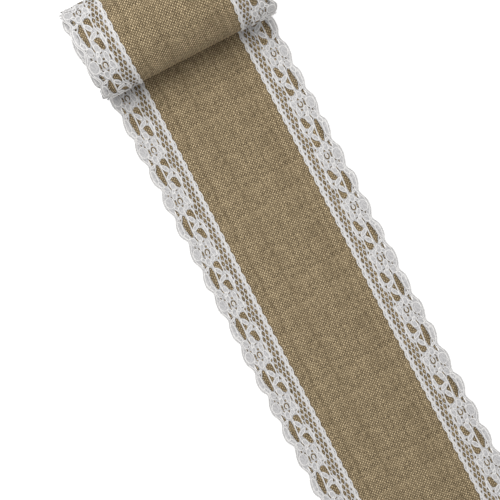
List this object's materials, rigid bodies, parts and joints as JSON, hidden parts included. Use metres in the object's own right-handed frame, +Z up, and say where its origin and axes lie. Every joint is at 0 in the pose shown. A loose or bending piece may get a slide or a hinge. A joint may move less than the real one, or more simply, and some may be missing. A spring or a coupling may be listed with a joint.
{
  "type": "table runner",
  "caption": "Strip of natural jute hessian edged with white flower lace, partly wound on a cardboard core and partly laid out flat along a table.",
  "frame": {"origin": "centre of the object's box in plan, on the surface that the flat cloth and the roll rest on", "axes": "+X across the strip, from one lace to the other; +Y along the strip, towards the roll; +Z up, out of the cloth's face"},
  "size_m": [0.15, 0.6084, 0.0744],
  "materials": {
    "jute_hessian": "matt, plain weave, natural tan-brown",
    "white_lace": "matt, soft, cool white",
    "white_thread": "slight sheen, twisted sewing thread",
    "grey_board": "matt wound paperboard"
  },
  "bodies": {
    "cloth": {"hessian": "jute_hessian", "lace_left": "white_lace", "lace_right": "white_lace", "seam_thread_left": "white_thread", "seam_thread_right": "white_thread", "edge_thread_left": "white_thread", "edge_thread_right": "white_thread"},
    "core": {"core": "grey_board"}
  },
  "joints": [
    {"name": "core_slide", "type": "slide", "parent": "cloth", "child": "core", "axis": [1, 0, 0], "range_m": [-0.15, 0.15]}
  ]
}
